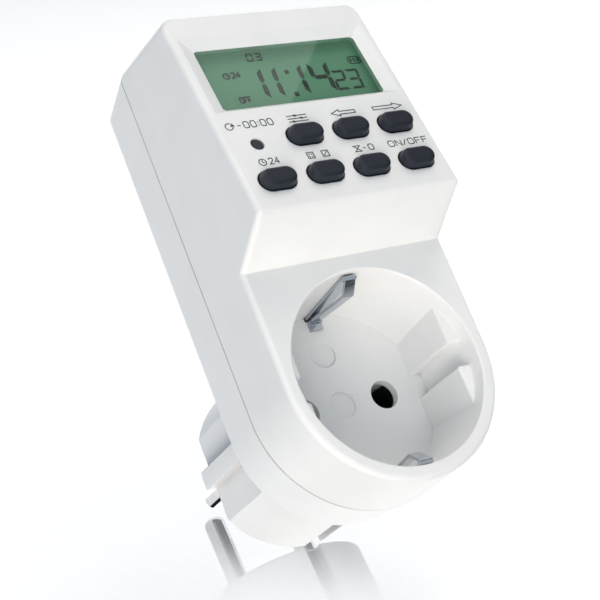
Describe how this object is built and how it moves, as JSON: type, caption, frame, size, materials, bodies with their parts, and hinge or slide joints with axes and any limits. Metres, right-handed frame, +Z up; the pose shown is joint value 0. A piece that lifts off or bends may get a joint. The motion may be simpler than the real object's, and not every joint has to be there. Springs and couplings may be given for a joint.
{
  "type": "plug-in digital timer switch",
  "caption": "Plug-in digital timer switch with a sloping display and key panel above an earthed round socket recess, and an earthed round plug with pins on the back.",
  "frame": {"origin": "centre of the plug's front face, midway between the two pins", "axes": "+Y the way the plug's pins point, away from the front; +Z up, from the socket to the display; +X right, seen from the front"},
  "size_m": [0.0468, 0.087, 0.103],
  "materials": {
    "case_front": "satin white",
    "case_back": "satin white",
    "screw_steel": "plated",
    "window_clear": "clear, polished",
    "lcd_glass": "grey-green display",
    "frame_plastic": "satin",
    "strip_rubber": "matt",
    "mat_silicone": "matt",
    "button_plastic": "satin",
    "key_plastic": "satin dark blue-grey",
    "board_laminate": "solder resist",
    "power_laminate": "bare laminate",
    "chip_resin": "cured resin",
    "can_metal": "plain",
    "cell_metal": "plain",
    "tab_metal": "plain",
    "ribbon_plastic": "ribbed",
    "header_plastic": "plain",
    "relay_plastic": "plain",
    "relay_iron": "plated iron",
    "coil_copper": "enamelled winding",
    "contact_brass": "rolled",
    "relay_case": "moulded",
    "capacitor_box": "moulded",
    "capacitor_sleeve": "shrink sleeve",
    "varistor_lacquer": "lacquered",
    "resistor_lacquer": "lacquered",
    "diode_resin": "moulded",
    "pin_nickel": "nickel plated, polished",
    "inner_plastic": "plain",
    "strip_brass": "rolled",
    "spring_nickel": "nickel plated",
    "earth_nickel": "nickel plated"
  },
  "bodies": {
    "case": {"front_cover": "case_front", "back_cover": "case_back", "case_screws": "screw_steel", "lcd_window": "window_clear", "lcd_panel": "lcd_glass", "lcd_frame": "frame_plastic", "lcd_connector_strips": "strip_rubber", "keypad_mat": "mat_silicone", "control_board": "board_laminate", "control_board_screws": "screw_steel", "control_chip": "chip_resin", "crystal_can": "can_metal", "backup_cell": "cell_metal", "cell_tabs": "tab_metal", "ribbon_cable": "ribbon_plastic", "board_headers": "header_plastic", "power_board": "power_laminate", "power_board_screws": "screw_steel", "relay_base": "relay_plastic", "relay_core": "relay_iron", "relay_coil": "coil_copper", "relay_contacts": "contact_brass", "relay_cover": "relay_case", "dropper_capacitor": "capacitor_box", "smoothing_capacitor": "capacitor_sleeve", "varistor": "varistor_lacquer", "resistors": "resistor_lacquer", "diodes": "diode_resin", "transistor": "diode_resin", "live_pin": "pin_nickel", "neutral_pin": "pin_nickel", "pin_retainer": "inner_plastic", "retainer_screws": "screw_steel", "live_inlet_strip": "strip_brass", "switched_live_strip": "strip_brass", "neutral_strip": "strip_brass", "live_socket_contact": "strip_brass", "neutral_socket_contact": "strip_brass", "contact_carrier": "inner_plastic", "earth_bar": "strip_brass", "earth_spring_upper": "spring_nickel", "earth_spring_lower": "spring_nickel", "plug_earth_contact_upper": "earth_nickel", "plug_earth_contact_lower": "earth_nickel", "earth_rivets": "strip_brass"},
    "key_upper_left": {"key_upper_left": "key_plastic"},
    "key_upper_middle": {"key_upper_middle": "key_plastic"},
    "key_upper_right": {"key_upper_right": "key_plastic"},
    "key_lower_outer_left": {"key_lower_outer_left": "key_plastic"},
    "key_lower_inner_left": {"key_lower_inner_left": "key_plastic"},
    "key_lower_inner_right": {"key_lower_inner_right": "key_plastic"},
    "key_lower_outer_right": {"key_lower_outer_right": "key_plastic"},
    "reset_button": {"reset_button": "button_plastic"},
    "relay_armature": {"relay_armature": "relay_iron", "relay_blade": "contact_brass"}
  },
  "joints": [
    {"name": "key_upper_left_press", "type": "slide", "parent": "case", "child": "key_upper_left", "axis": [0, 0.9869, -0.1616], "range_m": [0, 0.001], "stiffness_N_per_m": 400},
    {"name": "key_upper_middle_press", "type": "slide", "parent": "case", "child": "key_upper_middle", "axis": [0, 0.9869, -0.1616], "range_m": [0, 0.001], "stiffness_N_per_m": 400},
    {"name": "key_upper_right_press", "type": "slide", "parent": "case", "child": "key_upper_right", "axis": [0, 0.9869, -0.1616], "range_m": [0, 0.001], "stiffness_N_per_m": 400},
    {"name": "key_lower_outer_left_press", "type": "slide", "parent": "case", "child": "key_lower_outer_left", "axis": [0, 0.9869, -0.1616], "range_m": [0, 0.001], "stiffness_N_per_m": 400},
    {"name": "key_lower_inner_left_press", "type": "slide", "parent": "case", "child": "key_lower_inner_left", "axis": [0, 0.9869, -0.1616], "range_m": [0, 0.001], "stiffness_N_per_m": 400},
    {"name": "key_lower_inner_right_press", "type": "slide", "parent": "case", "child": "key_lower_inner_right", "axis": [0, 0.9869, -0.1616], "range_m": [0, 0.001], "stiffness_N_per_m": 400},
    {"name": "key_lower_outer_right_press", "type": "slide", "parent": "case", "child": "key_lower_outer_right", "axis": [0, 0.9869, -0.1616], "range_m": [0, 0.001], "stiffness_N_per_m": 400},
    {"name": "reset_press", "type": "slide", "parent": "case", "child": "reset_button", "axis": [0, 0.9869, -0.1616], "range_m": [0, 0.0006], "stiffness_N_per_m": 400},
    {"name": "armature_turn", "type": "hinge", "parent": "case", "child": "relay_armature", "pos_m": [0.0086, -0.04135, 0.04845], "axis": [-1, 0, 0], "range_deg": [0, 4], "stiffness_Nm_per_rad": 0.03}
  ]
}
